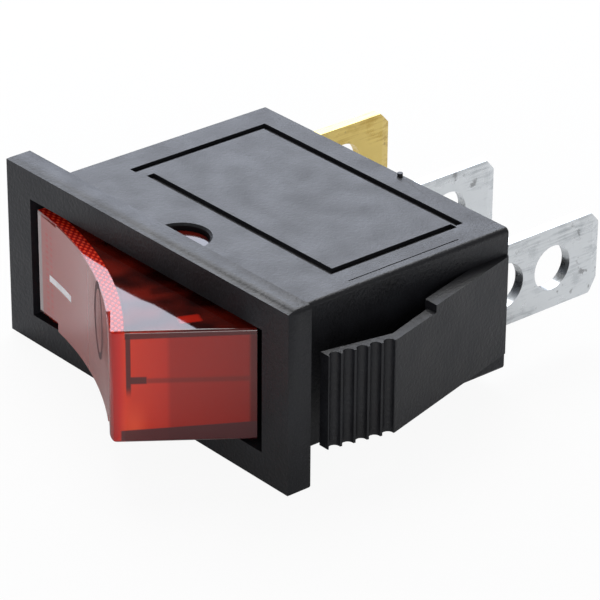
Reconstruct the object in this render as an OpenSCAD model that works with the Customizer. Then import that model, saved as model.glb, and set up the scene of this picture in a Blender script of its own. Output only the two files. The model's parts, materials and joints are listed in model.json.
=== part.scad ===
// Snap-in panel rocker switch: single pole, with a lamp behind a translucent rocker.
// Origin: centre of the panel cut-out, on the back face of the bezel.
// X runs along the bezel, Y into the panel, Z across the wide faces of the body.
// The rocker is drawn with its -X end pressed in, which is the ON position.

/* [Bezel] */
// Length of the bezel, along X
bezel_l = 31.1; // [29:0.5:40]
// Height of the bezel, along Z
bezel_h = 13.8; // [12.6:0.2:18]
// Thickness of the bezel
bezel_t = 1.9; // [1.5:0.1:2.5]
// How far the parting line lies behind the bezel's front face
parting_y = 0.85; // [0.5:0.05:1.2]
// How far the bezel's long edges stand out at the parting line
edge_draft = 0.17; // [0.02:0.01:0.25]
// How far the bezel's end edges stand out at the parting line
end_draft = 0.1; // [0.02:0.01:0.25]
// Radius of the bezel's corners
bezel_r = 0.5; // [0.2:0.1:1.2]
// Length of the window that the rocker looks out of
window_l = 25.5; // [24.5:0.1:26]

/* [Body] */
// Length of the body, along X
body_l = 26.4; // [25.4:0.2:27.4]
// Height of the body, between its wide faces
body_h = 10.92; // [10:0.1:12.4]
// Depth of the body behind the bezel
body_d = 19.6; // [18.8:0.2:26]
// Thickness of the two wide walls
wide_wall = 0.89; // [0.7:0.01:1.1]
// Thickness of the two end walls
end_wall = 0.75; // [0.6:0.05:0.9]
// Thickness of the rear wall
rear_wall = 2; // [1.4:0.1:2.6]
// Radius of the body's long rear corners
body_r = 0.35; // [0.1:0.05:0.8]

/* [Snap tongues] */
// How far the crest of a tongue stands out from the middle
crest_x = 17.03; // [16.6:0.01:18.4]
// Distance of the crest behind the panel face
crest_y = 6.04; // [5:0.01:6.6]
// Number of grip ridges between the crest and the free end
ridges = 5; // [3:1:6]
// Radius of the round grooves between the ridges
groove_r = 0.42; // [0.2:0.02:0.46]
// Gap between the bezel and a tongue's free end
tongue_gap = 1.1; // [0.4:0.05:1.5]
// Thickness of the springing part of a tongue
tongue_t = 0.85; // [0.7:0.05:1.4]
// Width of the springing part
tongue_w = 7; // [5.5:0.1:8]
// Width of the thicker root
root_w = 7.55; // [6:0.05:9]
// Length of the thicker root
root_l = 8.7; // [7:0.1:10]
// Thickness of the root where the springing part leaves it
root_t = 1.15; // [1:0.05:2]
// How far the springing part sits below the middle plane
tongue_drop = 0.55; // [0:0.05:0.8]

/* [Rocker] */
// Angle through which the rocker tips from ON to OFF
throw = 44.6; // [36:0.2:46]
// Distance of the pivot behind the panel face
pivot_y = 1.5; // [1.2:0.1:2.2]
// Radius of the pivot pins
pin_r = 1.92; // [1.4:0.02:2.2]
// Running clearance of the pins in their holes
pin_gap = 0.08; // [0.03:0.01:0.1]
// Gap between the rocker's sides and the wide walls
rocker_side_gap = 0.42; // [0.25:0.01:0.6]
// Gap between the pressed tip and the end of the window
rocker_end_gap = 0.85; // [0.6:0.05:1.2]
// How far the pressed tip stands proud of the bezel
tip_proud = 0.13; // [0:0.01:0.5]
// Depth of the hollow in the touch face
touch_sag = 1.3; // [0.6:0.1:1.8]
// Slope of the rocker's end faces
end_slope = 14; // [8:0.5:16]
// Wall of the rocker behind the touch face and in its ends
rocker_wall = 1; // [0.8:0.05:1.3]
// Wall of the rocker's sides
rocker_side = 0.85; // [0.6:0.05:1.1]
// How far the rocker's skirt reaches behind its pivot
skirt = 1.7; // [1.2:0.1:1.9]
// How far the pivot pins end below the body's wide faces
pin_inset = 0.5; // [0.1:0.05:0.6]
// Radius of the rocker's edges between its ends and its sides
end_round = 0.2; // [0.1:0.05:0.6]
// Radius of the rocker's two tip edges
tip_round = 0.35; // [0.1:0.05:0.6]
// Radius of the tips' upper corners
upper_corner = 0.2; // [0.1:0.05:0.8]
// Radius of the tips' lower corners
lower_corner = 0.7; // [0.1:0.05:0.8]

/* [Switching] */
// Diameter of the plunger
plunger_d = 2.7; // [2.2:0.1:3]
// Running clearance of the plunger in its guide
plunger_gap = 0.07; // [0.03:0.01:0.1]
// Distance from the pivot to the centre of the plunger's nose at full reach
plunger_reach = 6; // [5.6:0.1:6.6]
// Tilt of the moving contact each way
contact_tilt = 8; // [6:0.5:9]
// Thickness of the moving contact's strip
strip_t = 0.5; // [0.4:0.05:0.7]
// Width of the moving contact's strip
strip_w = 5.2; // [4.2:0.1:5.6]
// Distance from the knife edge to the silver contact
contact_arm = 6.2; // [5.4:0.1:6.6]

/* [Tabs] */
// Distance between neighbouring tabs
tab_pitch = 11.1; // [10.6:0.05:11.2]
// Width of a tab
tab_w = 6.3; // [4.8:0.1:6.4]
// Thickness of a tab
tab_t = 0.8; // [0.5:0.1:1]
// How far the tabs reach behind the panel face
tab_reach = 30.2; // [28.6:0.2:36]
// Radius of the wire holes in the tabs
wire_hole_r = 1.7; // [0.8:0.05:1.8]
// How far the middle tab stands out past the load tab
middle_out = 0.2; // [0:0.05:0.6]
// How far the lamp tab stays short of the load tab
lamp_short = 0.3; // [0:0.05:0.6]
// Distance of the outer wire hole from the tab's tip
wire_hole_in = 4.6; // [3:0.1:5]
// Distance between a tab's two wire holes
wire_hole_pitch = 4.5; // [4:0.1:5.5]
// How far the tabs sit below the middle plane
tab_drop = 0.12; // [0:0.02:0.4]

/* [Lamp] */
// Radius of the lamp's glass
glass_r = 1.5; // [1.1:0.05:1.6]
// Radius of the resistor's body
resistor_r = 0.75; // [0.5:0.05:0.9]
// Radius of the lamp's and resistor's wires
lead_r = 0.2; // [0.12:0.01:0.24]

/* [Hidden] */
$fn = 64;
eps = 0.01;
seat = 0.02;

// Colours
black_plastic = "#2b2c30";
red_plastic = "#c8281a";
tinned = "#c8cccc";
brass = "#cdb266";
silver = "#e4e4de";
spring_steel = "#9a9c9e";
glass = "#dfeaf0";
ceramic = "#d9c79a";
sleeving = "#e9e4d4";

// Housing
cavity_l = body_l - 2 * end_wall;
cavity_h = body_h - 2 * wide_wall;
rear_in = body_d - rear_wall;
tip_y = -bezel_t - tip_proud;

// Rocker: its own frame has the pivot at the origin and its touch face towards -y
half_throw = throw / 2;
rocker_z = cavity_h / 2 - rocker_side_gap;
press_x = window_l / 2 - rocker_end_gap;
press_y = pivot_y - tip_y;
tip_x = press_x * cos(half_throw) - press_y * sin(half_throw);
tip_in = -(press_x * sin(half_throw) + press_y * cos(half_throw));
touch_r = (tip_x * tip_x + touch_sag * touch_sag) / (2 * touch_sag);
touch_c = tip_in + touch_sag - touch_r;
face_y = touch_c + touch_r;
skirt_x = tip_x + (skirt - tip_in) * tan(end_slope);
inner_z = rocker_z - rocker_side;
boss_r = pin_r + 1.2;

// Plunger guide
plunger_r = plunger_d / 2;
bore_r = plunger_r + plunger_gap;
guide_r = bore_r + 0.65;
guide_end = plunger_reach - plunger_r;
guide_floor = face_y + rocker_wall + 0.15;

// Moving contact: its own frame has the knife edge at the origin
nose_x = plunger_reach * sin(half_throw);
nose_y = pivot_y + plunger_reach * cos(half_throw);
strip_front = nose_y + (plunger_r - nose_x * sin(contact_tilt)) / cos(contact_tilt);
knife_y = strip_front + strip_t / cos(contact_tilt);
pass_gap = 0.12;
plunger_back = pivot_y + plunger_reach + plunger_r - (knife_y - strip_t) + pass_gap;
nose_c = plunger_reach - plunger_back;
cup_top = nose_c - 4.1;
cup_floor = nose_c - 0.35;
cup_wall = 0.38;
cup_r = plunger_r - cup_wall;
arm_left = 4.8;
notch_x = 0.75;
notch_z = strip_w / 2 - 1;

// Silver contacts
rivet_r = 1.25;
dome_h = 0.25;
dome_r = (rivet_r * rivet_r + dome_h * dome_h) / (2 * dome_h);
rivet_h = 0.7;
shank_r = 0.6;
dome_x = contact_arm * cos(contact_tilt) - (rivet_h - dome_r) * sin(contact_tilt);
dome_y = knife_y + contact_arm * sin(contact_tilt) + (rivet_h - dome_r) * cos(contact_tilt);
fixed_face = dome_y + dome_r + seat;
fixed_h = 0.6;
load_shelf = fixed_face + fixed_h;

// Tabs
tab_chamfer = 0.95;
bend_r = 0.5;
shoulder_w = tab_w + 1;
shoulder_h = 1;
slot_gap = 0.06;
shelf_w = strip_w;

// Lamp and its circuit, in the rocker's frame
lamp_y = guide_floor + glass_r + 0.2;
lamp_in = -(guide_r + 0.85);
lamp_l = 4;
lamp_out = lamp_in - lamp_l;
pinch_l = 0.4;
wire_z = 0.6;
post_x = -9.3;
post_r = 1.25;
post_floor = -1.2;
post_end = 0.9;
post_bore = 1;
inner_x = lamp_out - pinch_l - 0.3;
resistor_y = -0.6;
resistor_l = 3.4;
cap_l = 0.5;
cap_r = resistor_r + 0.07;
tail_x = -(guide_r + 0.45);
resistor_out = inner_x + 0.85;
resistor_in = resistor_out + resistor_l;
tail_y = guide_floor + 0.35;

// Springs
spring_wire = 0.14;
plunger_coil_r = cup_r - spring_wire - 0.08;
plunger_turns = 9;
lamp_wire = 0.12;
lamp_coil_r = 0.78;
lamp_turns = 6;
lamp_spring_start = post_floor + lamp_wire + seat;
lamp_shelf = 9.2;
lamp_shelf_end = 6.3;

module in_rocker() {
    translate([0, pivot_y, 0])
    rotate([0, 0, -half_throw])
    children();
}

module in_contact() {
    translate([0, knife_y, 0])
    rotate([0, 0, contact_tilt])
    children();
}

module both_ends() {
    children();
    mirror([1, 0, 0]) children();
}

module both_sides() {
    children();
    mirror([0, 0, 1]) children();
}

// A block centred on X and Z that runs from y0 to y1
module block(l, y0, y1, h) {
    translate([-l / 2, y0, -h / 2])
    cube([l, y1 - y0, h]);
}

// A block with its long corners rounded
module round_block(l, y0, y1, h, r) {
    block(l - 2 * r, y0, y1, h);
    block(l, y0, y1, h - 2 * r);
    for (sx = [-1, 1], sz = [-1, 1])
        translate([sx * (l / 2 - r), y0, sz * (h / 2 - r)])
        rotate([-90, 0, 0])
        cylinder(r = r, h = y1 - y0);
}

// A straight prism of a profile in X and Y
module plate(points, z0, z1) {
    translate([0, 0, z0])
    linear_extrude(z1 - z0)
    polygon(points);
}

// A straight wire between two points
module rod(a, b, r) {
    d = b - a;
    flat = norm([d[0], d[1]]);
    translate(a)
    rotate([0, atan2(flat, d[2]), atan2(d[1], d[0])])
    cylinder(r = r, h = norm(d), $fn = 24);
}

// A wire bent through a list of points
module wire(points, r) {
    for (i = [0 : len(points) - 2])
        rod(points[i], points[i + 1], r);
    for (i = [1 : 1 : len(points) - 2])
        translate(points[i])
        sphere(r = r, $fn = 24);
}

// A round bar along y, from y0 to y1
module bar(y0, y1, r) {
    translate([0, y0, 0])
    rotate([-90, 0, 0])
    cylinder(r = r, h = y1 - y0);
}

// A round tube along y, from y0 to y1
module tube(y0, y1, outer, inner) {
    difference() {
        bar(y0, y1, outer);
        bar(y0 - eps, y1 + eps, inner);
    }
}

// A helical spring along y, from y0 to y1, with closed end turns
module coil(y0, y1, coil_r, wire_r, turns) {
    sides = 6;
    per_turn = 18;
    rings = turns * per_turn;
    dead = per_turn;
    rise = (y1 - y0 - 2 * wire_r * 1.15);
    live = rings - 2 * dead;
    function climb(i) = i < dead ? wire_r * 2 * i / dead
        : i > rings - dead ? rise - wire_r * 2 * (rings - i) / dead
        : wire_r * 2 + (rise - 4 * wire_r) * (i - dead) / live;
    ring = [
        for (i = [0 : rings], k = [0 : sides - 1])
        let (a = 360 * i / per_turn, b = 360 * k / sides, q = coil_r + wire_r * cos(b))
        [q * cos(a), y0 + wire_r * 1.15 + climb(i) + wire_r * sin(b), q * sin(a)]
    ];
    walls = [
        for (i = [0 : rings - 1], k = [0 : sides - 1])
        let (n = (k + 1) % sides)
        [i * sides + k, i * sides + n, (i + 1) * sides + n, (i + 1) * sides + k]
    ];
    start = [for (k = [sides - 1 : -1 : 0]) k];
    finish = [for (k = [0 : sides - 1]) rings * sides + k];
    polyhedron(points = ring, faces = concat(walls, [start, finish]), convexity = 8);
}

// ---- Housing ----

// Bezel plate: its edges slope away from the parting line, most of all towards the front
module bezel() {
    y = [-bezel_t, parting_y - bezel_t, 0];
    back_draft = 0.03;
    function outline(w, draft) = [
        [-w / 2 + draft, y[0]], [w / 2 - draft, y[0]], [w / 2, y[1]],
        [w / 2 - back_draft, y[2]], [-w / 2 + back_draft, y[2]], [-w / 2, y[1]]
    ];
    intersection() {
        plate(outline(bezel_l, end_draft), -bezel_h, bezel_h);
        rotate([0, 90, 0])
        plate(outline(bezel_h, edge_draft), -bezel_l, bezel_l);
        round_block(bezel_l, -bezel_t, 0, bezel_h, bezel_r);
    }
}

// Snap tongue: a thick root, and a springing blade with grip ridges between its crest and its end
module tongue() {
    low = -tongue_w / 2 - tongue_drop;
    root_x = body_l / 2 + 0.3;
    root_y = body_d - 0.2;
    root_in = (body_l - end_wall) / 2;
    root_back = body_d - 0.05;
    slope = (crest_x - root_x) / (root_y - crest_y);
    step_y = root_y - root_l;
    step_x = root_x + slope * root_l;
    meet_y = step_y + (step_x - root_t - root_in) / slope;
    grip_slope = 0.216;
    end_x = crest_x - (crest_y - tongue_gap) * grip_slope;
    pitch = (crest_y - tongue_gap) / ridges;
    difference() {
        plate([
            [crest_x, crest_y], [step_x, step_y], [step_x - tongue_t, step_y],
            [crest_x - tongue_t, crest_y + tongue_t / 2], [end_x - tongue_t, tongue_gap], [end_x, tongue_gap]
        ], low, low + tongue_w);
        for (i = [0.5 : ridges - 0.5])
            translate([end_x + i * pitch * grip_slope, tongue_gap + i * pitch, low - eps])
            cylinder(r = groove_r, h = tongue_w + 2 * eps);
    }
    plate([
        [step_x, step_y], [root_x, root_y], [root_x - 0.2, root_back], [root_in, root_back],
        [root_in, meet_y], [step_x - root_t, step_y]
    ], low, low + root_w);
}

// Cavity behind the window
module cavity() {
    block(window_l, -bezel_t - eps, eps, cavity_h);
    block(cavity_l, 0, rear_in, cavity_h);
    for (sx = [-1, 1])
        plate([
            [sx * (window_l / 2), -eps], [sx * (window_l / 2), eps],
            [sx * (cavity_l / 2 - eps), 0.5], [sx * (cavity_l / 2 - eps), -eps]
        ], -cavity_h / 2, cavity_h / 2);
}

// Round holes that the rocker's pins snap into, eased at their rims
module pivot_holes() {
    rim = 0.16;
    both_sides()
    translate([0, pivot_y, 0]) {
        cylinder(r = pin_r + pin_gap, h = body_h / 2 + eps);
        translate([0, 0, body_h / 2 - rim])
        cylinder(r1 = pin_r + pin_gap, r2 = pin_r + pin_gap + rim + eps, h = rim + eps);
    }
}

// Moulded frame line on the upper wide face, open at one corner, with a witness mark beside it
module face_lines() {
    line_w = 0.65;
    line_in = 2.8;
    line_x = body_l / 2 - line_in;
    line_y0 = 5.95;
    line_y1 = body_d - 2.2;
    open_l = 1.6;
    deep = 0.32;
    top = body_h / 2 - deep;
    module line(x0, y0, x1, y1)
        translate([x0 - line_w / 2, y0 - line_w / 2, top])
        cube([x1 - x0 + line_w, y1 - y0 + line_w, deep + eps]);
    line(-line_x, line_y0 - 0.25, -line_x, line_y1);
    line(-line_x, line_y1, line_x - 0.1, line_y1);
    line(line_x + 0.1, line_y0, line_x + 0.1, line_y1 - 0.75);
    line(-line_x + open_l, line_y0, line_x + 0.1, line_y0);
    witness_w = 0.1;
    witness_deep = 0.05;
    witness_in = 0.98;
    translate([body_l / 2 - witness_in, line_y0, body_h / 2 - witness_deep])
    cube([witness_w, line_y1 - line_y0 - 1.6, witness_deep + eps]);
}

// Ejector nub on the rear edge of the upper face
module rear_nub() {
    nub_x = 2.2;
    nub_r = 0.2;
    nub_h = 0.25;
    translate([nub_x, body_d - nub_r, body_h / 2 - nub_h])
    cylinder(r = nub_r, h = 2 * nub_h);
}

// Slot in the rear wall that a tab passes through
module tab_slot(x) {
    translate([x, 0, -tab_drop])
    block(tab_t + 2 * slot_gap, rear_in - eps, body_d + eps, tab_w + 2 * slot_gap);
}

// Ribs that hold the tabs and back up their shelves
module cavity_ribs() {
    post = 0.9;
    side = tab_t / 2 + slot_gap + post / 2;
    stand = rear_in - 4.6;
    for (sx = [-1, 1])
        translate([sx * side, 0, 0])
        block(post, stand, rear_in + eps, cavity_h + eps);
    back = load_shelf + tab_t + seat;
    rib = 1.1;
    inner = tab_pitch - tab_t / 2 - bend_r - 0.3;
    for (sz = [-1, 1])
        translate([0, 0, sz * (shelf_w / 2 - rib / 2)])
        plate([
            [dome_x - 1.4, rear_in + eps], [dome_x - 1.4, back], [inner, back], [inner, rear_in + eps]
        ], -rib / 2, rib / 2);
    lamp_back = lamp_shelf + tab_t + seat;
    plate([
        [-lamp_shelf_end - 0.3, rear_in + eps], [-lamp_shelf_end - 0.3, lamp_back],
        [-inner, lamp_back], [-inner, rear_in + eps]
    ], -rib / 2, rib / 2);
    rest = knife_y + (arm_left - 0.8) * sin(contact_tilt) + 0.15;
    plate([
        [-arm_left, rear_in + eps], [-arm_left, rest], [-arm_left + 1.2, rest], [-arm_left + 1.2, rear_in + eps]
    ], -strip_w / 2, strip_w / 2);
}

module housing() {
    color(black_plastic)
    difference() {
        union() {
            difference() {
                union() {
                    bezel();
                    round_block(body_l, -eps, body_d, body_h, body_r);
                    both_ends() tongue();
                }
                cavity();
                pivot_holes();
                face_lines();
            }
            cavity_ribs();
            rear_nub();
        }
        for (x = [-tab_pitch, 0, tab_pitch])
            tab_slot(x);
    }
}

// ---- Rocker ----

// Side outline of the rocker in its own frame, with a wall taken off all round
module rocker_block(wall, z, back) {
    slant = tan(end_slope);
    far = wall / cos(end_slope);
    top = tip_in - 2;
    bx = tip_x + (back - tip_in) * slant - far;
    tx = tip_x + (top - tip_in) * slant - far;
    difference() {
        plate([[-tx, top], [tx, top], [bx, back], [-bx, back]], -z, z);
        translate([0, touch_c, -z - eps])
        cylinder(r = touch_r + wall, h = 2 * z + 2 * eps, $fn = 256);
    }
}

// Cutter that rounds a straight edge: it runs along +Y and its corner points to +X +Z
module edge_cutter(l, r) {
    difference() {
        translate([-r, 0, -r])
        cube([r + 1, l, r + 1]);
        translate([-r, -eps, -r])
        rotate([-90, 0, 0])
        cylinder(r = r, h = l + 2 * eps, $fn = 48);
    }
}

// Rounded edges between the ends and the sides, and along the two tips
module rocker_edges() {
    both_ends() {
        both_sides()
        translate([tip_x, tip_in, rocker_z])
        rotate([0, 0, -end_slope])
        translate([0, -2, 0])
        edge_cutter(skirt - tip_in + 6, end_round);
        translate([tip_x, tip_in, 0])
        rotate([0, 0, -end_slope])
        rotate([90, 0, 0])
        translate([0, -rocker_z - 1, 0])
        edge_cutter(2 * rocker_z + 2, tip_round);
    }
}

// Rounded corners of the two tips, which run out along the hollow touch face
module tip_corners(r) {
    run = 2;
    slant = asin(tip_x / touch_r);
    both_ends()
    translate([tip_x, tip_in, -rocker_z])
    rotate([0, 0, 90 - slant])
    rotate([0, 180, 0])
    translate([0, -run / 2, 0])
    edge_cutter(2 * run, r);
}

// Round seats for the lamp, standing on the back of the touch wall
module lamp_cradles() {
    rib_t = 0.5;
    for (x = [lamp_in - 0.8, lamp_out + 0.8])
        difference() {
            translate([x - rib_t / 2, face_y - 1, -inner_z - eps])
            cube([rib_t, lamp_y - face_y + 1, 2 * inner_z + 2 * eps]);
            translate([x - rib_t, lamp_y, 0])
            rotate([0, 90, 0])
            cylinder(r = glass_r + seat, h = 2 * rib_t);
        }
}

// Rib along the middle of the touch wall, on the side away from the lamp
module middle_rib(rib_t, rib_h) {
    translate([0, touch_c, -rib_t / 2])
    difference() {
        cylinder(r = touch_r + rocker_wall + rib_h, h = rib_t, $fn = 256);
        translate([-2 * touch_r, -2 * touch_r, -eps])
        cube([2 * touch_r + guide_r / 2, 6 * touch_r, rib_t + 2 * eps]);
    }
}

// Cup for the lamp's contact spring, tied to the end wall by a web
module spring_cup(web_t) {
    translate([post_x, 0, 0])
    bar(post_floor - 1, post_end, post_r);
    translate([-skirt_x, post_floor - 1, -web_t / 2])
    cube([skirt_x + post_x, post_end - post_floor + 1, web_t]);
}

module rocker() {
    rib_t = 0.5;
    lead_way = lead_r + 0.1;
    color(red_plastic)
    in_rocker()
    difference() {
        union() {
            difference() {
                rocker_block(0, rocker_z, skirt);
                rocker_block(rocker_wall, inner_z, skirt + eps);
                rocker_edges();
                tip_corners(lower_corner);
                mirror([0, 0, 1]) tip_corners(upper_corner);
            }
            both_sides()
            translate([0, 0, inner_z]) {
                cylinder(r = boss_r, h = rocker_side);
                cylinder(r = pin_r, h = body_h / 2 - pin_inset - inner_z);
            }
            bar(face_y + rocker_wall / 2, guide_end, guide_r);
            intersection() {
                rocker_block(rocker_wall / 2, rocker_z - rocker_side / 2, skirt);
                union() {
                    middle_rib(rib_t, 1);
                    lamp_cradles();
                    spring_cup(2 * rib_t);
                }
            }
        }
        bar(guide_floor, guide_end + eps, bore_r);
        translate([post_x, 0, 0]) {
            bar(post_floor, post_end + eps, post_bore);
            bar(post_floor - 2, post_floor + eps, lead_r + 0.05);
        }
        translate([-guide_r - eps, tail_y - lead_way, -lead_way])
        cube([guide_r, 2 * lead_way, 2 * lead_way]);
    }
}

// ---- Switching parts ----

module plunger() {
    color(brass)
    in_rocker()
    difference() {
        union() {
            bar(cup_top, nose_c, plunger_r);
            translate([0, nose_c, 0])
            sphere(r = plunger_r);
        }
        bar(cup_top - eps, cup_floor, cup_r);
    }
}

module plunger_spring() {
    color(spring_steel)
    in_rocker()
    coil(tail_y + lead_r + seat, cup_floor - seat, plunger_coil_r, spring_wire, plunger_turns);
}

// Rocking strip: notched at the middle to sit between the ears of the common terminal
module moving_contact() {
    w = strip_w / 2;
    neck = contact_arm - 1.9;
    color(tinned)
    in_contact()
    difference() {
        union() {
            rotate([90, 0, 0])
            linear_extrude(strip_t)
            polygon([
                [-arm_left, -w + 0.8], [-arm_left + 0.8, -w], [neck, -w], [contact_arm, -rivet_r],
                [contact_arm, rivet_r], [neck, w], [-arm_left + 0.8, w], [-arm_left, w - 0.8]
            ]);
            translate([contact_arm, 0, 0])
            bar(-strip_t, 0, rivet_r);
        }
        both_sides()
        translate([-notch_x, -strip_t - eps, notch_z])
        cube([2 * notch_x, strip_t + 2 * eps, strip_w]);
        translate([contact_arm, 0, 0])
        bar(-strip_t - eps, eps, shank_r + eps);
    }
}

// Silver contact riveted through the strip, with a domed face
module moving_contact_rivet() {
    upset_r = shank_r + 0.35;
    upset_h = 0.15;
    color(silver)
    in_contact()
    translate([contact_arm, 0, 0]) {
        bar(-strip_t - upset_h, -strip_t, upset_r);
        bar(-strip_t - eps, eps, shank_r);
        intersection() {
            bar(0, rivet_h, rivet_r);
            translate([0, rivet_h - dome_r, 0])
            sphere(r = dome_r, $fn = 96);
        }
    }
}

// Silver contact riveted through the load terminal's shelf, with a flat face
module fixed_contact_rivet() {
    upset_r = shank_r + 0.3;
    upset_h = 0.2;
    color(silver)
    translate([dome_x, load_shelf, 0]) {
        bar(-fixed_h, 0, rivet_r + 0.15);
        bar(-eps, tab_t + eps, shank_r);
        bar(tab_t, tab_t + upset_h, upset_r);
    }
}

// ---- Terminals ----

// Outer part of a tab in its own plane: chamfered, bevelled at its tip and pierced twice
module tab(y0, tip) {
    w = tab_w / 2;
    c = tab_chamfer;
    bevel_l = 0.75;
    bevel_t = 0.22;
    hole_1 = tip - wire_hole_in;
    hole_2 = hole_1 - wire_hole_pitch;
    difference() {
        intersection() {
            rotate([0, 90, 0])
            plate([
                [-w, y0], [w, y0], [w, tip - c], [w - c, tip], [c - w, tip], [-w, tip - c]
            ], -tab_t / 2, tab_t / 2);
            plate([
                [-tab_t / 2, y0], [tab_t / 2, y0], [tab_t / 2, tip - bevel_l], [tab_t / 2 - bevel_t, tip],
                [bevel_t - tab_t / 2, tip], [-tab_t / 2, tip - bevel_l]
            ], -w, w);
        }
        for (y = [hole_1, hole_2])
            translate([-tab_t, y, 0])
            rotate([0, 90, 0])
            cylinder(r = wire_hole_r, h = 2 * tab_t, $fn = 72);
    }
    block(tab_t, rear_in - shoulder_h, rear_in - seat, shoulder_w);
}

// Bent inner end: the strip turns towards the middle and ends in a flat shelf
module shelf(y, x_tab, x_end, w) {
    inside = x_tab - tab_t / 2 - bend_r;
    corner = y + tab_t + bend_r;
    translate([x_end, y, -w / 2])
    cube([inside - x_end, tab_t, w]);
    translate([inside, corner, -w / 2])
    rotate([0, 0, -90])
    rotate_extrude(angle = 90)
    translate([bend_r, 0])
    square([tab_t, w]);
    translate([x_tab - tab_t / 2, corner, -w / 2])
    cube([tab_t, rear_in - corner, w]);
}

// Middle tab: knife edge under the moving contact, between two ears that hold it in line
module common_terminal() {
    ear = 1.6;
    bevel = 0.3;
    gap = 0.15;
    color(tinned)
    translate([0, 0, -tab_drop])
    difference() {
        tab(knife_y - ear, tab_reach + middle_out);
        translate([-tab_t, knife_y - ear - eps, tab_drop - notch_z - gap])
        cube([2 * tab_t, ear + seat + eps, 2 * (notch_z + gap)]);
        for (sx = [-1, 1])
            plate([
                [sx * eps, knife_y + seat - eps], [sx * tab_t, knife_y + seat - eps],
                [sx * tab_t, knife_y + seat + 2 * bevel]
            ], tab_drop - notch_z - gap, tab_drop + notch_z + gap);
    }
}

module load_terminal() {
    color(tinned)
    difference() {
        union() {
            translate([tab_pitch, 0, -tab_drop])
            tab(rear_in - shoulder_h, tab_reach);
            shelf(load_shelf, tab_pitch, dome_x - 1.6, shelf_w);
        }
        translate([dome_x, 0, 0])
        bar(load_shelf - eps, load_shelf + tab_t + eps, shank_r + eps);
    }
}

module lamp_terminal() {
    color(brass)
    union() {
        translate([-tab_pitch, 0, -tab_drop])
        tab(rear_in - shoulder_h, tab_reach - lamp_short);
        mirror([1, 0, 0]) shelf(lamp_shelf, tab_pitch, lamp_shelf_end, shelf_w - 2);
    }
}

// ---- Lamp circuit, carried in the rocker ----

// Half section of a domed tube that stands on the radial axis
module bulb_section(r, l) {
    intersection() {
        union() {
            translate([-r, 0])
            square([2 * r, l - r]);
            translate([0, l - r])
            circle(r = r);
        }
        square([2 * r, 2 * l]);
    }
}

// Sealed neon lamp: thin glass with a domed tip and a pinched foot
module lamp_glass() {
    wall = 0.3;
    foot = lamp_out - pinch_l;
    color(glass)
    in_rocker()
    translate([0, lamp_y, 0])
    difference() {
        union() {
            translate([lamp_out, 0, 0])
            rotate([0, 90, 0])
            rotate_extrude()
            difference() {
                bulb_section(glass_r, lamp_l);
                translate([0, wall])
                bulb_section(glass_r - wall, lamp_l - 2 * wall);
            }
            translate([foot, -0.45, -1.15])
            cube([pinch_l + eps, 0.9, 2.3]);
        }
        both_sides()
        translate([foot - eps, 0, wire_z])
        rotate([0, 90, 0])
        cylinder(r = lead_r + eps, h = pinch_l + wall + 3 * eps, $fn = 24);
    }
}

// Electrode and wire that end at the lamp's contact spring
module lamp_electrode_outer() {
    color(spring_steel)
    in_rocker()
    wire([
        [lamp_in - 1.1, lamp_y, wire_z], [post_x, lamp_y, wire_z], [post_x, lamp_y, 0],
        [post_x, post_floor + lead_r / 2, 0]
    ], lead_r);
}

// Electrode and wire that end at the resistor
module lamp_electrode_inner() {
    color(spring_steel)
    in_rocker()
    wire([
        [lamp_in - 1.1, lamp_y, -wire_z], [inner_x, lamp_y, -wire_z], [inner_x, resistor_y, -wire_z],
        [inner_x, resistor_y, 0], [resistor_out - seat, resistor_y, 0]
    ], lead_r);
}

module lamp_sleeve() {
    color(sleeving)
    in_rocker()
    translate([inner_x, 0, -wire_z])
    tube(lamp_y + 0.6, resistor_y - lead_r - 0.25, lead_r + 0.13, lead_r + eps);
}

module lamp_contact_spring() {
    // stops where its tilted end meets the shelf of the lamp terminal
    at_shelf = (lamp_shelf - seat - pivot_y + post_x * sin(half_throw)) / cos(half_throw);
    lean = (lamp_coil_r + lamp_wire) * tan(half_throw);
    color(spring_steel)
    in_rocker()
    translate([post_x, 0, 0])
    coil(lamp_spring_start, at_shelf - lean, lamp_coil_r, lamp_wire, lamp_turns);
}

module resistor_body() {
    color(ceramic)
    in_rocker()
    translate([resistor_out + cap_l, resistor_y, 0])
    rotate([0, 90, 0])
    cylinder(r = resistor_r, h = resistor_l - 2 * cap_l);
}

// Pressed cup on an end of the resistor's body
module resistor_cap(x) {
    color(tinned)
    in_rocker()
    translate([x, resistor_y, 0])
    rotate([0, 90, 0])
    cylinder(r = cap_r, h = cap_l);
}

module resistor_cap_outer() resistor_cap(resistor_out);

module resistor_cap_inner() resistor_cap(resistor_in - cap_l);

// Wire from the resistor that turns up beside the guide
module resistor_lead() {
    color(tinned)
    in_rocker()
    wire([
        [resistor_in, resistor_y, 0], [tail_x, resistor_y, 0], [tail_x, tail_y, 0], [-0.1, tail_y, 0]
    ], lead_r);
}

// Solder bead under the plunger's spring
module resistor_tail() {
    color(silver)
    in_rocker()
    translate([lead_r, tail_y, 0])
    sphere(r = 0.3);
}

housing();
rocker();
plunger();
plunger_spring();
moving_contact();
moving_contact_rivet();
common_terminal();
load_terminal();
fixed_contact_rivet();
lamp_terminal();
lamp_glass();
lamp_electrode_outer();
lamp_electrode_inner();
lamp_sleeve();
lamp_contact_spring();
resistor_body();
resistor_cap_outer();
resistor_cap_inner();
resistor_lead();
resistor_tail();
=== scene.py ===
# %% [markdown]
# # A panel rocker switch, finished around its CAD model
# The switch is a black moulded housing that snaps into a panel, a see-through red rocker with a lamp behind it,
# and three blade terminals. The CAD model gives every piece its true shape and place. This script gives them
# their surfaces, with the rocker's glow and shade painted into its colour, replaces the few pieces whose shading
# needs a cleaner mesh, and adds the two marks: a printed bar, and a sunk ring whose shade is painted.

# %% Load the frame
import math

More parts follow.
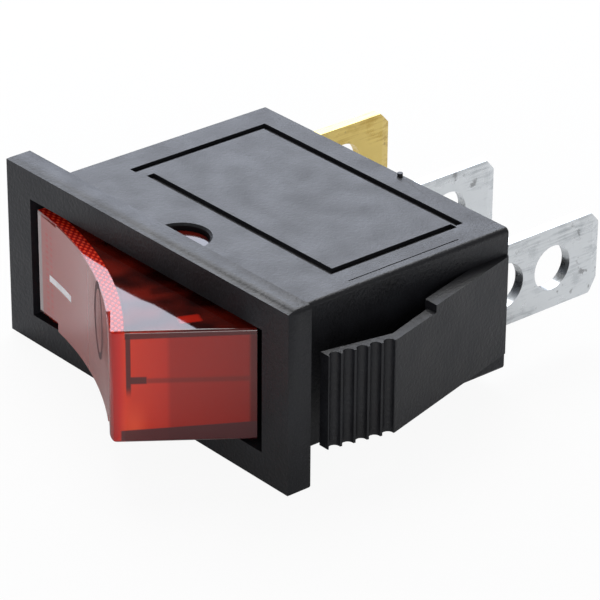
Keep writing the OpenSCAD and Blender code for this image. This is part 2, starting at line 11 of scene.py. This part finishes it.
import bmesh
import bpy
from mathutils import Matrix, Vector
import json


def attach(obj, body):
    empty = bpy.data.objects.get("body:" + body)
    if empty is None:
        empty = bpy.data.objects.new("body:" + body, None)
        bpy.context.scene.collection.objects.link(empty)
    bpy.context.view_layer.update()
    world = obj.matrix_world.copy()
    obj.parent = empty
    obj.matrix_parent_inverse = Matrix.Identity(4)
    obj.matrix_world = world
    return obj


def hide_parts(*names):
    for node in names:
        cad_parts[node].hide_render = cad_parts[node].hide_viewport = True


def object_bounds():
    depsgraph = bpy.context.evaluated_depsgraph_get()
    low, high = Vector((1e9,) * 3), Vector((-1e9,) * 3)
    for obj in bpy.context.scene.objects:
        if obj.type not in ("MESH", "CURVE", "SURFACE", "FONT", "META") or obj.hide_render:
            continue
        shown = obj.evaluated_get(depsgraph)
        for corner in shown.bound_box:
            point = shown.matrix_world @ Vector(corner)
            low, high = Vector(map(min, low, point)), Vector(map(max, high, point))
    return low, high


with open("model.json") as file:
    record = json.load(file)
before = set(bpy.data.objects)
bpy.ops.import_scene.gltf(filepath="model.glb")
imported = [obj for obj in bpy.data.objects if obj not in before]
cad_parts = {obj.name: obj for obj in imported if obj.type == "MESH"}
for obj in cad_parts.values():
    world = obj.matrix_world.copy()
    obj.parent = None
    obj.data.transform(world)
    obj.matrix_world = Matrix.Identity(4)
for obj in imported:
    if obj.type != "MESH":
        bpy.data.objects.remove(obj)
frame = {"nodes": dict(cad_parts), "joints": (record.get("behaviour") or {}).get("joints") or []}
cad_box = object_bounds()
MM = 0.001
print("pieces from CAD:", len(frame["nodes"]))

# %% [markdown]
# Every size below is in millimetres. The rocker has its own frame: the pivot is its origin, u runs along the
# touch face, v into the body. At rest it is turned about the pivot, so points are worked out in (u, v, z) and
# then turned into place.

# %% Sizes that the new pieces share
pivot_y = frame["joints"][0]["pos_m"][1] / MM
half_throw = math.radians(frame["joints"][0]["range_deg"][1] / 2)
tip_u = 9.67  # where the touch face ends, at both tips
tip_v = -7.78
touch_sag = 1.3  # how deep the touch face is hollowed
touch_r = (tip_u**2 + touch_sag**2) / (2 * touch_sag)
touch_c = tip_v + touch_sag - touch_r
print("touch face radius: %.1f mm" % touch_r)


# %% Place a point of the rocker's frame
def touch_v(u):
    """Depth of the hollow touch face at u."""
    return touch_c + math.sqrt(touch_r**2 - u**2)


rocker_turn = Matrix.Rotation(-half_throw, 4, "Z")
rocker_place = Matrix.Translation((0, pivot_y * MM, 0)) @ rocker_turn
print("rocker turned by %.1f degrees at rest" % math.degrees(half_throw))

# %% [markdown]
# ## The camera
# The switch is seen from its front right, a little from above, through a long lens: with a long lens the
# parallel edges stay almost parallel, as in a catalogue picture.

# %% Camera
azimuth = math.radians(49.77)
elevation = math.radians(27.21)
roll = math.radians(0.41)
distance = 245.18
look_at = Vector((4.75, 8.1, 0.34)) * MM
back = Vector((
    math.sin(azimuth) * math.cos(elevation),
    -math.cos(azimuth) * math.cos(elevation),
    math.sin(elevation),
))
camera = bpy.data.objects.new("camera", bpy.data.cameras.new("camera"))
camera.data.sensor_width = 36
camera.data.lens = 213.95
camera.data.clip_start = 0.01
camera.location = look_at + back * distance * MM
facing = back.to_track_quat("Z", "Y").to_matrix().to_4x4()
camera.matrix_world = Matrix.Translation(camera.location) @ facing @ Matrix.Rotation(roll, 4, "Z")
bpy.context.scene.collection.objects.link(camera)
bpy.context.scene.camera = camera
print("camera at", [round(c, 4) for c in camera.location])

# %% [markdown]
# ## Materials
# A material here is a small network of nodes. One helper adds a node and sets what it is given: a number or
# colour goes on a socket, a pair (node, output) becomes a link, and stops fill a colour ramp.


# %% Node helpers
def srgb(text):
    """Turns a hex colour as seen on screen into the linear colour that the shader wants."""
    parts = [int(text[i : i + 2], 16) / 255 for i in (1, 3, 5)]
    linear = [c / 12.92 if c <= 0.04045 else ((c + 0.055) / 1.055) ** 2.4 for c in parts]
    return (*linear, 1)


def add(tree, kind, values=None, stops=(), **settings):
    """Adds a node; values maps sockets to numbers, colours or (node, output) pairs."""
    node = tree.nodes.new("ShaderNode" + kind)
    for name, setting in settings.items():
        setattr(node, name, setting)
    for socket, value in (values or {}).items():
        if isinstance(value, tuple) and isinstance(value[0], bpy.types.Node):
            tree.links.new(value[0].outputs[value[1]], node.inputs[socket])
        else:
            node.inputs[socket].default_value = value
    for index, (position, colour) in enumerate(stops):
        band = node.color_ramp.elements
        element = band[index] if index < 2 else band.new(position)
        element.position = position
        element.color = srgb(colour)
    return node


def new_material(name):
    """An empty material with its output; returns the material, its tree and its output node."""
    material = bpy.data.materials.new(name)
    material.use_nodes = True
    tree = material.node_tree
    tree.nodes.clear()
    return material, tree, add(tree, "OutputMaterial")


def finish_with(tree, output, shader):
    tree.links.new(shader.outputs[0], output.inputs["Surface"])


print("helpers ready")

# %% [markdown]
# Some finishes are built up in layers, as a painter glazes: each layer has a colour and limits, and it shows
# only where every limit holds. A limit is a value, its low and high end, and how soft its edges are.


# %% Layer helper
def layer(tree, under, colour, limits, strength=1.0):
    """Lays a colour over another inside all the limits (value, low, high, softness)."""
    mask = strength
    for value, low, high, soft in limits:
        rise = add(tree, "MapRange", {0: value, 1: low - soft, 2: low + soft}, interpolation_type="SMOOTHSTEP")
        fall = add(tree, "MapRange", {
            0: value, 1: high - soft, 2: high + soft, 3: 1.0, 4: 0.0,
        }, interpolation_type="SMOOTHSTEP")
        inside = add(tree, "Math", {0: (rise, 0), 1: (fall, 0)}, operation="MULTIPLY")
        mask = (add(tree, "Math", {0: (inside, 0), 1: mask}, operation="MULTIPLY"), 0)
    mixed = add(tree, "Mix", {"Factor": mask, 6: under, 7: colour}, data_type="RGBA")
    return (mixed, 2)


print("layers ready")

# %% [markdown]
# ### Housing: black nylon, spark-textured
# The mould for the body is eroded by sparks, which leaves a fine pebbled skin. Its real pebbles are under a
# fifth of a millimetre and would vanish in a picture, so they are drawn a little coarser. The pigment is almost
# black, so what the eye sees is the skin's own sheen: faces that look up mirror the light at a low angle and
# turn blue-grey, and the others stay near black. A fine noise feeds the bump, and a cloudy one varies the
# roughness, as handling does. Nylon's index is about 1.53; the pebbled skin scatters part of its sheen, so the
# index and the specular level are set lower.


# %% Housing material
def spark_textured_nylon():
    material, tree, output = new_material("black_nylon_spark_textured")
    place = add(tree, "TexCoord")
    grain_mm = 0.28
    grain = add(tree, "TexNoise", {
        "Vector": (place, "Object"), "Scale": 1 / (grain_mm * MM), "Detail": 2.0, "Roughness": 0.6,
    })
    cloud_mm = 2.6
    cloud = add(tree, "TexNoise", {"Vector": (place, "Object"), "Scale": 1 / (cloud_mm * MM), "Detail": 2.0})
    tint = add(tree, "ValToRGB", {0: (cloud, 0)}, stops=[(0.3, "#17171a"), (0.7, "#1d1e22")])
    rough = add(tree, "MapRange", {0: (cloud, 0), 1: 0.3, 2: 0.7, 3: 0.4, 4: 0.5})
    bump = add(tree, "Bump", {"Height": (grain, 0), "Strength": 0.8, "Distance": 0.05 * MM})
    shader = add(tree, "BsdfPrincipled", {
        "Base Color": (tint, 0), "Roughness": (rough, 0), "IOR": 1.45, "Specular IOR Level": 0.4, "Normal": (bump, 0),
    })
    finish_with(tree, output, shader)
    return material


# %% [markdown]
# ### Rocker: clear red polycarbonate, with painted glow and shade
# Dyed polycarbonate lets red through and swallows the rest. What the eye sees in it is mostly what lies behind,
# and here that is painted into the base colour: the touch wall, lit from both sides, glows, most of all in its
# cut edge, where a grid of tiny pyramids on its back shows as bright dots; this glow and these dots are painted
# light. Behind it the shell is hollow and dark, and ribs and side walls show through the ends as darker lines;
# this darkness and these lines are painted shade. The colours are laid in the rocker's own frame, where u runs
# along the touch face, v goes into the body and depth is the distance behind the touch face, all in millimetres.


# %% Sizes of what shows in the rocker
end_slope = math.radians(14)
lip = 1.05  # thickness of the touch wall, seen in its cut edge
dots_along = 0.7
dots_deep = 0.43
skin = 0.1  # how far behind the touch face its colour reaches
rib_z = (0.3, 0.66)  # the rib at mid height, behind the end face
print("dots %.2f x %.2f mm apart" % (dots_along, dots_deep))


# %% Measure places in the rocker's frame
def rocker_places(tree):
    """Sockets for u, v, z, depth behind the touch face, w down the end face, and how level a face is."""
    place = add(tree, "TexCoord")
    turn_back = Matrix.Rotation(half_throw, 3, "Z") @ Vector((0, -pivot_y, 0))
    local = add(tree, "Mapping", {
        "Vector": (place, "Object"), "Location": turn_back, "Rotation": (0, 0, half_throw), "Scale": (1 / MM,) * 3,
    })
    split = add(tree, "SeparateXYZ", {0: (local, 0)})
    flat = add(tree, "Mapping", {"Vector": (local, 0), "Location": (0, -touch_c, 0), "Scale": (1, 1, 0)})
    reach = add(tree, "VectorMath", {0: (flat, 0)}, operation="LENGTH")
    depth = add(tree, "Math", {0: (reach, "Value"), 1: touch_r}, operation="SUBTRACT")
    from_tip = add(tree, "Math", {0: (split, 1), 1: tip_v}, operation="SUBTRACT")
    down_end = add(tree, "Math", {0: (from_tip, 0), 1: math.cos(end_slope)}, operation="DIVIDE")
    facing = add(tree, "SeparateXYZ", {0: (place, "Normal")})
    level = add(tree, "Math", {0: (facing, 2)}, operation="ABSOLUTE")
    return local, (split, 0), (split, 1), (split, 2), (depth, 0), (down_end, 0), (level, 0)


print("the end faces slope by %.0f degrees" % math.degrees(end_slope))

# %% [markdown]
# The sides look into the hollow shell: dark, with vague lighter patches where light gets through, all painted
# shade and painted light, with a darker painted band and a painted red glow near the tip. The cut edge of the
# touch wall lies over that, with its grid of dots painted as bright light: a wave along the face times a wave
# into it is high at every second crossing, which sets the dots in diagonal rows.


# %% Colour of the rocker's sides
def side_colour(tree, local, u, v, depth):
    cloud = add(tree, "TexNoise", {"Vector": (local, 0), "Scale": 0.35, "Detail": 1.0})
    # Painted shade and light: the dark hollow seen through the side, with lighter patches where light gets through.
    hollow = add(tree, "ValToRGB", {0: (cloud, 0)}, stops=[(0.35, "#2c0806"), (0.65, "#701a10")])
    # Painted shade: a darker band across the hollow.
    shell = layer(tree, (hollow, 0), srgb("#180404"), [(u, 4.4, 5.4, 0.25), (depth, 3.2, 7.5, 0.3)], 0.6)
    # Painted light: a bright red glow near the free tip.
    shell = layer(tree, shell, srgb("#c02414"), [(u, 8.9, 9.9, 0.15), (v, -2.9, -1.4, 0.15)], 0.8)
    # Painted light: the bright dots in the cut edge of the touch wall.
    along = add(tree, "Math", {0: u, 1: 2 * math.pi / dots_along}, operation="MULTIPLY")
    inward = add(tree, "Math", {0: depth, 1: 2 * math.pi / dots_deep}, operation="MULTIPLY")
    wave_along = add(tree, "Math", {0: (along, 0)}, operation="SINE")
    wave_inward = add(tree, "Math", {0: (inward, 0)}, operation="SINE")
    dots = add(tree, "Math", {0: (wave_along, 0), 1: (wave_inward, 0)}, operation="MULTIPLY")
    edge = add(tree, "ValToRGB", {0: (dots, 0)}, stops=[(0.0, "#a80c04"), (0.5, "#ff4a2c")])
    return layer(tree, shell, (edge, 0), [(depth, -1, lip, 0.05)])


# %% [markdown]
# The end face glows along its tip, most of all low down; this glow is painted light, fading to painted shade
# towards the body. Behind the glow stands a dark line where the touch wall ends, with the stub of the rib, and the
# rib itself runs back faintly. The two side walls show as dark bands, a little askew because they taper. These
# lines and bands are painted shade.


# %% Colour of the rocker's ends
def end_colour(tree, z, w):
    field = add(tree, "MapRange", {0: w, 1: 0.0, 2: 10.0})
    # Painted light: the glow along the tip, darker towards the body as painted shade.
    glow = add(tree, "ValToRGB", {0: (field, 0)}, stops=[
        (0.0, "#9c0c04"), (1.0, "#5a0602"), (0.07, "#d41606"), (0.11, "#e83410"), (0.16, "#dc300e"),
        (0.38, "#c8260e"), (0.41, "#a81c0a"), (0.92, "#961608"), (0.94, "#640802"),
    ])
    low_down = add(tree, "MapRange", {0: z, 1: -0.5, 2: -3.2}, interpolation_type="SMOOTHSTEP")
    # Painted light: a brighter glow low down near the tip.
    end = layer(tree, (glow, 0), srgb("#f04a22"), [(w, 1.0, 2.2, 0.6)], (low_down, 0))
    # Painted shade: the dark line where the touch wall ends, and then the stub of the rib.
    end = layer(tree, end, srgb("#5c1410"), [(w, 1.14, 1.46, 0.04), (z, -0.4, 4.2, 0.5)])
    end = layer(tree, end, srgb("#5c1410"), [(w, 1.3, 2.5, 0.05), (z, 0.26, 0.78, 0.05)])
    # Painted shade: the rib running back, faintly.
    end = layer(tree, end, srgb("#701a12"), [(w, 2.5, 9.3, 0.1), (z, *rib_z, 0.1)], 0.6)
    # Painted shade: the two side walls as dark bands, askew as they taper.
    upper_taper = add(tree, "Math", {0: w, 1: 0.02}, operation="MULTIPLY")
    upper = (add(tree, "Math", {0: z, 1: (upper_taper, 0)}, operation="SUBTRACT"), 0)
    end = layer(tree, end, srgb("#4a0c0a"), [(upper, 3.55, 4.0, 0.05), (w, 1.1, 20, 0.05)], 0.9)
    lower_taper = add(tree, "Math", {0: w, 1: 0.055}, operation="MULTIPLY")
    lower = (add(tree, "Math", {0: z, 1: (lower_taper, 0)}, operation="SUBTRACT"), 0)
    return layer(tree, end, srgb("#4c2024"), [(lower, -9, -3.28, 0.05), (w, 0.75, 20, 0.08)], 0.95)


# %% [markdown]
# The touch face is a milky red under its polish. Two faint rows of dots show through near the pressed end, painted
# as brighter red light, and the rounded edge beside them is paler, a painted highlight.


# %% Colour of the touch face
def touch_colour(tree, u, z):
    row = add(tree, "Math", {0: z, 1: 2 * math.pi / 0.45}, operation="MULTIPLY")
    wave = add(tree, "Math", {0: (row, 0)}, operation="SINE")
    spots = add(tree, "MapRange", {0: (wave, 0), 1: -0.2, 2: 0.6, 3: 0.1, 4: 0.5})
    touch = srgb("#a8524a")
    # Painted light: two faint rows of bright dots showing through.
    for left, right in ((-8.4, -8.0), (-7.75, -7.4)):
        touch = layer(tree, touch, srgb("#c02c24"), [(u, left, right, 0.1), (z, -3.2, 3.2, 0.4)], (spots, 0))
    # Painted highlight: the paler rounded edge at the tip.
    return layer(tree, touch, srgb("#9a8886"), [(u, -12, -9.0, 0.12)])


# %% [markdown]
# The three colours are joined: level faces are sides, and whatever lies within a tenth of a millimetre of the
# touch face is the touch face. The polish is finest off the touch face. The cut edge leans back a little, which
# is drawn as bump. Polycarbonate's index is 1.58.


# %% Rocker material
def red_polycarbonate_painted_glow_and_shade():
    material, tree, output = new_material("red_polycarbonate_painted_glow_and_shade")
    local, u, v, z, depth, w, level = rocker_places(tree)
    # Painted light and shade: the base colour carries the rocker's glow, its lit dots and its dark hollow.
    side = side_colour(tree, local, u, v, depth)
    colour = layer(tree, end_colour(tree, z, w), side, [(level, 0.7, 9, 0.1)])
    colour = layer(tree, colour, touch_colour(tree, u, z), [(depth, -1, skin, 0.04)])
    rough = add(tree, "MapRange", {0: depth, 1: 0.04, 2: 0.16, 3: 0.2, 4: 0.06})
    lean = add(tree, "MapRange", {0: depth, 1: 0.0, 2: lip, 3: -0.2, 4: 0.0})
    bump = add(tree, "Bump", {"Height": (lean, 0), "Strength": 1.0, "Distance": 1 * MM})
    shader = add(tree, "BsdfPrincipled", {
        "Base Color": colour, "Roughness": (rough, 0), "IOR": 1.58, "Transmission Weight": 0.15, "Normal": (bump, 0),
    })
    finish_with(tree, output, shader)
    return material


# %% [markdown]
# ### Metals
# The blades are brass strip. Two are tin-plated: pale grey, soft sheen, with faint scuffs where a gauge or a
# connector has rubbed. The lamp blade is left bare, so it is a dull straw yellow. Rolling leaves streaks along
# the strip, drawn by stretching noise along the blade.


# %% Metal material
def rolled_metal(name, light, dark, rough, streak_mm=0.25, scuff=0.0):
    material, tree, output = new_material(name)
    place = add(tree, "TexCoord")
    along = add(tree, "Mapping", {"Vector": (place, "Object"), "Scale": (1, 0.06, 1)})
    streak = add(tree, "TexNoise", {
        "Vector": (along, 0), "Scale": 1 / (streak_mm * MM), "Detail": 3, "Roughness": 0.6,
    })
    patch = add(tree, "TexNoise", {"Vector": (place, "Object"), "Scale": 1 / (1.6 * MM), "Detail": 4})
    both = add(tree, "Math", {0: (streak, 0), 1: (patch, 0)}, operation="ADD")
    tint = add(tree, "ValToRGB", {0: (both, 0)}, stops=[(0.7, dark), (1.0, light)])
    low, high = rough
    gloss = add(tree, "MapRange", {0: (patch, 0), 1: 0.35, 2: 0.65, 3: low, 4: high})
    bump = add(tree, "Bump", {"Height": (streak, 0), "Strength": 0.12, "Distance": 0.01 * MM})
    colour = tint
    if scuff:
        mark = add(tree, "TexNoise", {"Vector": (place, "Object"), "Scale": 1 / (0.9 * MM), "Detail": 6})
        where = add(tree, "MapRange", {0: (mark, 0), 1: 0.64, 2: 0.7, 3: 0.0, 4: scuff})
        colour = add(tree, "Mix", {
            "Factor": (where, 0), 6: (tint, 0), 7: srgb("#5a5856"),
        }, data_type="RGBA")
    shader = add(tree, "BsdfPrincipled", {
        "Base Color": (colour, 2 if scuff else 0), "Metallic": 1.0, "Roughness": (gloss, 0), "Normal": (bump, 0),
    })
    finish_with(tree, output, shader)
    return material


# %% [markdown]
# ### Small inner parts
# The lamp's glass, its wires, the springs and the resistor sit behind the rocker and show through it. Each
# gets its own plain finish with a little unevenness.


# %% Materials of the inner parts
def plain_coating(name, light, dark, rough, patch_mm=0.5):
    material, tree, output = new_material(name)
    place = add(tree, "TexCoord")
    patch = add(tree, "TexNoise", {"Vector": (place, "Object"), "Scale": 1 / (patch_mm * MM), "Detail": 3})
    tint = add(tree, "ValToRGB", {0: (patch, 0)}, stops=[(0.35, dark), (0.65, light)])
    bump = add(tree, "Bump", {"Height": (patch, 0), "Strength": 0.1, "Distance": 0.02 * MM})
    shader = add(tree, "BsdfPrincipled", {"Base Color": (tint, 0), "Roughness": rough, "Normal": (bump, 0)})
    finish_with(tree, output, shader)
    return material


def lamp_glass():
    material, tree, output = new_material("clear_soda_glass")
    shader = add(tree, "BsdfPrincipled", {
        "Base Color": srgb("#f4f8fa"), "Roughness": 0.0, "IOR": 1.5, "Transmission Weight": 1.0,
    })
    finish_with(tree, output, shader)
    return material


nylon = spark_textured_nylon()
polycarbonate = red_polycarbonate_painted_glow_and_shade()
tinned = rolled_metal("tin_plated_brass", "#d6d9da", "#b3b7b9", (0.24, 0.36), scuff=0.55)
bare_brass = rolled_metal("bare_rolled_brass", "#d8bf74", "#b99c54", (0.26, 0.4), scuff=0.3)
silver = rolled_metal("contact_silver", "#efeee9", "#d9d8d2", (0.15, 0.25))
spring_steel = rolled_metal("bright_spring_wire", "#b9bcc0", "#8e9195", (0.2, 0.3))
nickel_wire = rolled_metal("nickel_wire", "#c2c0ba", "#9a9892", (0.25, 0.35))
ceramic = plain_coating("lacquered_ceramic", "#c9b084", "#b3976a", 0.45)
sleeving = plain_coating("woven_sleeving", "#e4ddc8", "#cfc6ad", 0.8, 0.12)
glass = lamp_glass()
print("materials:", len(bpy.data.materials))


# %% Put the materials on the CAD pieces
finishes = {
    nylon: ["housing"],
    polycarbonate: ["rocker"],
    tinned: ["common_terminal", "load_terminal", "moving_contact", "resistor_cap_outer", "resistor_cap_inner"],
    bare_brass: ["lamp_terminal", "plunger"],
    silver: ["moving_contact_rivet", "fixed_contact_rivet", "resistor_tail"],
    spring_steel: ["plunger_spring", "lamp_contact_spring"],
    nickel_wire: ["lamp_electrode_outer", "lamp_electrode_inner", "resistor_lead"],
    ceramic: ["resistor_body"],
    sleeving: ["lamp_sleeve"],
    glass: ["lamp_glass"],
}
for material, names in finishes.items():
    for name in names:
        piece = frame["nodes"][name]
        piece.data.materials.clear()
        piece.data.materials.append(material)
print("finished:", sum(len(n) for n in finishes.values()), "pieces")

# %% [markdown]
# ## Cleaner meshes for the housing and the rocker
# A CAD mesh arrives as loose flat triangles. That suits flat walls, but a polished curved face would mirror
# the room in strips, and real moulded edges are never knife sharp. So a copy is merged, its flat areas are
# joined up, edges sharper than a set angle stay crisp, and on the housing a fine bevel rounds them.


# %% Copy a CAD piece with merged points
def merged_copy(node, name, weld_mm=0.002):
    """A copy of a CAD node's mesh with its points merged and its flat areas joined up."""
    piece = bpy.data.objects.new(name, frame["nodes"][node].data.copy())
    bpy.context.scene.collection.objects.link(piece)
    bm = bmesh.new()
    bm.from_mesh(piece.data)
    bmesh.ops.remove_doubles(bm, verts=bm.verts, dist=weld_mm * MM)
    bmesh.ops.dissolve_limit(bm, angle_limit=math.radians(0.5), verts=bm.verts, edges=bm.edges)
    bm.to_mesh(piece.data)
    print(name, "faces:", len(bm.faces))
    bm.free()
    piece.data.shade_smooth()
    piece.data.set_sharp_from_angle(angle=math.radians(28))
    return piece


def round_edges(piece, radius_mm, segments=2, angle=32):
    """Rounds every edge sharper than the angle, as a mould's own edges do."""
    bevel = piece.modifiers.new("soft_edges", "BEVEL")
    bevel.width = radius_mm * MM
    bevel.segments = segments
    bevel.limit_method = "ANGLE"
    bevel.angle_limit = math.radians(angle)
    bevel.harden_normals = True
    bevel.use_clamp_overlap = True
    return bevel


# %% Housing shell
housing_shell = merged_copy("housing", "housing_shell")
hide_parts("housing")
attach(housing_shell, "housing")
round_edges(housing_shell, 0.12)

# %% Rocker shell
rocker_shell = merged_copy("rocker", "rocker_shell")
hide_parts("rocker")
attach(rocker_shell, "rocker")

# %% [markdown]
# ## The two marks
# The bar for ON is printed in white. The ring for OFF is sunk into the face, and the shade inside it is painted
# as a dark red layer. Both lie on the hollow touch face, so each is drawn flat, cut into short pieces, given the
# thickness of a thin layer and then laid on the arc.


# %% Lay a flat mark on the touch face
# Thickness of the ON bar's ink and of the OFF ring's painted shade layer.
ink_and_shade_mm = 0.015
lift_mm = 0.01


def thicken(bm):
    lid = bmesh.ops.extrude_face_region(bm, geom=bm.faces[:])
    bmesh.ops.translate(bm, verts=[g for g in lid["geom"] if isinstance(g, bmesh.types.BMVert)], vec=(0, 0, ink_and_shade_mm))


def lay_on_touch_face(bm):
    """Takes a mark drawn in x and y (mm) and lays it on the touch face, raised by lift_mm."""
    for vert in bm.verts:
        u, z = vert.co.x, vert.co.y
        v = touch_v(u) - lift_mm + vert.co.z
        vert.co = rocker_place @ (Vector((u, v, z)) * MM)


def mark_piece(name, bm, material):
    thicken(bm)
    lay_on_touch_face(bm)
    bmesh.ops.recalc_face_normals(bm, faces=bm.faces)
    mesh = bpy.data.meshes.new(name)
    bm.to_mesh(mesh)
    bm.free()
    piece = bpy.data.objects.new(name, mesh)
    bpy.context.scene.collection.objects.link(piece)
    mesh.materials.append(material)
    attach(piece, "rocker")
    return piece


# %% ON bar
white_paint = plain_coating("white_pad_printed_ink", "#f4f2f4", "#e6e2e6", 0.5)
bar_u = (-7.9, -4.3)
bar_z = -0.45
bar_w = 0.5
bm = bmesh.new()
bmesh.ops.create_grid(bm, x_segments=16, y_segments=2, size=0.5)
for vert in bm.verts:
    vert.co.x = (vert.co.x + 0.5) * (bar_u[1] - bar_u[0]) + bar_u[0]
    vert.co.y = vert.co.y * bar_w + bar_z
on_bar = mark_piece("on_bar", bm, white_paint)
print("ON bar: %.1f mm long" % (bar_u[1] - bar_u[0]))

# %% OFF ring
# Painted shade: the dark red of the sunk OFF ring stands in for the shade inside it.
ring_painted_shade = plain_coating("sunk_ring_painted_shade", "#5e2022", "#3c1416", 0.6)
ring_centre = (2.75, 1.4)
ring_out = (1.5, 2.9)
ring_wide = 0.5
bm = bmesh.new()
hoops = []
for inset in (0, ring_wide):
    hoop = bmesh.ops.create_circle(bm, cap_ends=False, segments=64, radius=1)
    for vert in hoop["verts"]:
        vert.co.x = vert.co.x * (ring_out[0] - inset) + ring_centre[0]
        vert.co.y = vert.co.y * (ring_out[1] - inset) + ring_centre[1]
    hoops += {e for v in hoop["verts"] for e in v.link_edges}
bmesh.ops.bridge_loops(bm, edges=list(set(hoops)))
off_ring = mark_piece("off_ring", bm, ring_painted_shade)
print("OFF ring: %.1f mm high" % (2 * ring_out[1]))

# %% [markdown]
# ## Floor and light
# The switch lies on a pale floor. To the camera the floor is almost pure white, with a trace of its real
# shading left in so that the switch keeps a faint shadow. Mirrors see a little of that white too. A soft panel
# low at the back left gives the wide top face its sheen, a key panel lights all from above, and a weak fill
# reaches the rocker's end from the right.


# %% Floor
def pale_floor():
    material, tree, output = new_material("pale_floor")
    path = add(tree, "LightPath")
    seen = add(tree, "Math", {0: (path, "Is Camera Ray"), 1: (path, "Is Transmission Ray")}, operation="MAXIMUM")
    mirrored = add(tree, "Math", {0: (path, "Is Glossy Ray"), 1: 0.12}, operation="MULTIPLY")
    keep = add(tree, "Math", {0: (seen, 0), 1: 0.93, 2: (mirrored, 0)}, operation="MULTIPLY_ADD")
    shade = add(tree, "BsdfDiffuse", {"Color": srgb("#dedede")})
    glow = add(tree, "Emission", {"Color": (1, 1, 1, 1), "Strength": 1.0})
    mix = add(tree, "MixShader", {0: (keep, 0), 1: (shade, 0), 2: (glow, 0)})
    finish_with(tree, output, mix)
    return material


floor_z = cad_box[0][2]
bm = bmesh.new()
bmesh.ops.create_grid(bm, x_segments=1, y_segments=1, size=1.5)
bmesh.ops.translate(bm, verts=bm.verts, vec=(0, 0, floor_z - 0.00002))
floor_mesh = bpy.data.meshes.new("floor")
bm.to_mesh(floor_mesh)
bm.free()
floor = bpy.data.objects.new("floor", floor_mesh)
floor_mesh.materials.append(pale_floor())
bpy.context.scene.collection.objects.link(floor)
print("floor at %.2f mm" % (floor_z / MM))


# %% World
world = bpy.data.worlds.new("studio")
world.use_nodes = True
bpy.context.scene.world = world
tree = world.node_tree
tree.nodes.clear()
path = add(tree, "LightPath")
seen = add(tree, "Math", {0: (path, "Is Camera Ray"), 1: (path, "Is Transmission Ray")}, operation="MAXIMUM")
strength = add(tree, "MapRange", {0: (seen, 0), 3: 0.3, 4: 1.0})
sky = add(tree, "Background", {"Color": (1, 1, 1, 1), "Strength": (strength, 0)})
tree.links.new(sky.outputs[0], add(tree, "OutputWorld").inputs["Surface"])
print("world lit")


# %% Lamps
def soft_panel(name, place, target, size, power, colour="#ffffff"):
    light = bpy.data.lights.new(name, "AREA")
    light.shape = "RECTANGLE"
    light.size, light.size_y = size
    light.energy = power
    light.color = srgb(colour)[:3]
    lamp = bpy.data.objects.new(name, light)
    place = Vector(place)
    turn = (place - Vector(target)).to_track_quat("Z", "Y").to_matrix().to_4x4()
    lamp.matrix_world = Matrix.Translation(place) @ turn
    lamp.visible_camera = False
    bpy.context.scene.collection.objects.link(lamp)
    return lamp


soft_panel("back_left_panel", (-0.19, 0.11, 0.11), (0, 0.01, 0), (0.22, 0.14), 0.42, "#e0e8fa")
soft_panel("key_panel", (-0.2, 0.16, 0.4), (0, 0.01, 0), (0.3, 0.3), 1.7)
soft_panel("fill_panel", (0.5, -0.42, 0.12), (0, 0.01, 0), (0.3, 0.3), 1.5)
print("lamps placed")

# %% [markdown]
# ## Finish
# The view stays on the plain Standard transform, so a colour renders about as it is written.

# %% Set the view transform
import json

bpy.context.scene.view_settings.view_transform = "Standard"
